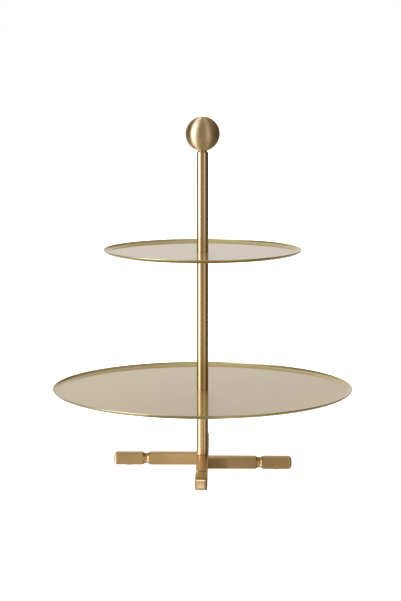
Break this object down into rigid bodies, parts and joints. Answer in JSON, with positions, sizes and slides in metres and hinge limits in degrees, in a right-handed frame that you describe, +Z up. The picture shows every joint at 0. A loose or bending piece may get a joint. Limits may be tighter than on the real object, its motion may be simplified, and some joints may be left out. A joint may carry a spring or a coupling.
{
  "type": "tiered cake stand",
  "caption": "Free-standing cake stand: round shallow-rimmed trays in tiers on a slim screwed stem with a ball finial, over a cross-shaped foot of square bars; it holds cakes and pastries.",
  "frame": {"origin": "on the table plane, on the axis of the stem", "axes": "+Z up along the stem; the foot's long bar lies along Y and its side arms along X; the front is -Y"},
  "size_m": [0.3, 0.3, 0.3515],
  "materials": {
    "tray_brass": "polished pale brass, very finely brushed",
    "stem_brass": "polished brass, brushed along its length",
    "bar_brass": "brushed brass with polished turned grooves",
    "finial_brass": "turned brass with fine lathe lines",
    "plug_brass": "plain machined",
    "fastener_steel": "zinc-plated",
    "pad_rubber": "matt"
  },
  "bodies": {
    "base": {"foot_main_bar": "bar_brass", "foot_left_arm": "bar_brass", "foot_right_arm": "bar_brass", "arm_screws": "fastener_steel", "stem_screw": "fastener_steel", "foot_pads": "pad_rubber", "lower_stem_tube": "stem_brass", "lower_stem_foot_plug": "plug_brass", "lower_stem_head_plug": "plug_brass"},
    "lower_tray": {"lower_tray": "tray_brass"},
    "middle_stem": {"middle_stem_tube": "stem_brass", "middle_stem_foot_plug": "plug_brass", "middle_stem_head_plug": "plug_brass", "lower_tray_stud": "fastener_steel"},
    "upper_tray": {"upper_tray": "tray_brass"},
    "upper_stem": {"upper_stem_tube": "stem_brass", "upper_stem_foot_plug": "plug_brass", "upper_stem_head_plug": "plug_brass", "upper_tray_stud": "fastener_steel"},
    "finial_collar": {"finial_collar": "finial_brass"},
    "finial": {"finial_ball": "finial_brass", "finial_stud": "fastener_steel"}
  },
  "joints": [
    {"name": "lower_tray_rise", "type": "slide", "parent": "base", "child": "lower_tray", "axis": [0, 0, 1], "range_m": [0, 0.009]},
    {"name": "middle_stem_unscrew", "type": "hinge", "parent": "lower_tray", "child": "middle_stem", "pos_m": [0, 0, 0.0784], "axis": [0, 0, 1], "range_deg": [0, 3240]},
    {"name": "upper_tray_rise", "type": "slide", "parent": "middle_stem", "child": "upper_tray", "axis": [0, 0, 1], "range_m": [0, 0.009]},
    {"name": "upper_stem_unscrew", "type": "hinge", "parent": "upper_tray", "child": "upper_stem", "pos_m": [0, 0, 0.2178], "axis": [0, 0, 1], "range_deg": [0, 3240]},
    {"name": "finial_rise", "type": "slide", "parent": "upper_stem", "child": "finial_collar", "axis": [0, 0, 1], "range_m": [0, 0.009]},
    {"name": "finial_unscrew", "type": "hinge", "parent": "finial_collar", "child": "finial", "pos_m": [0, 0, 0.3179], "axis": [0, 0, 1], "range_deg": [0, 3240]}
  ],
  "couplings": [
    {"joint": "middle_stem_unscrew", "follows": "lower_tray_rise", "rad_per_m": 6283.2},
    {"joint": "upper_stem_unscrew", "follows": "upper_tray_rise", "rad_per_m": 6283.2},
    {"joint": "finial_unscrew", "follows": "finial_rise", "rad_per_m": 6283.2}
  ]
}
